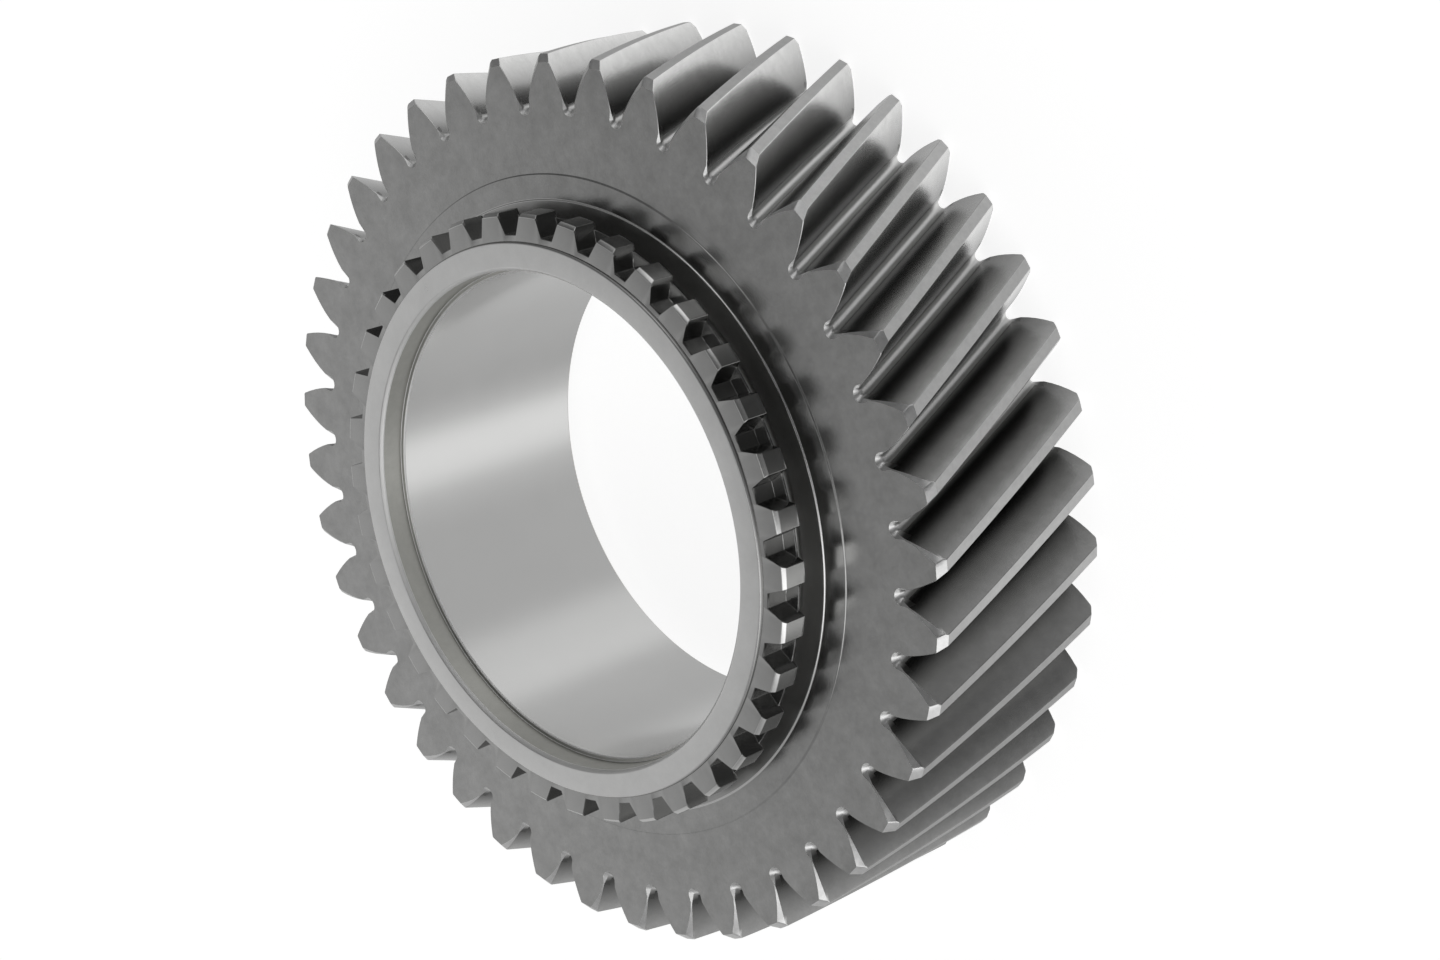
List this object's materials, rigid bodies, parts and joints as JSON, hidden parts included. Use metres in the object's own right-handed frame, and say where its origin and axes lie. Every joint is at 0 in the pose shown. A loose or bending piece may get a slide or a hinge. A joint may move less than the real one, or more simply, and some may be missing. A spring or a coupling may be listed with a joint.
{
  "type": "helical transmission gear",
  "caption": "Helical gear for a gearbox shaft, with a wide plain bore for a needle cage and a ring of small dog teeth standing on a hub at its front face.",
  "frame": {"origin": "on the gear's axis, in the plane of its rear face", "axes": "+Z along the axis towards the hub and its dog ring, +X through the middle of one helical tooth where it ends on the front face"},
  "size_m": [0.1604, 0.1604, 0.0515],
  "materials": {
    "steel": "case-hardened steel: turned and shot-peened faces, ground bore, hub face and tooth flanks"
  },
  "bodies": {
    "root": {"helical_gear": "steel"}
  },
  "joints": []
}
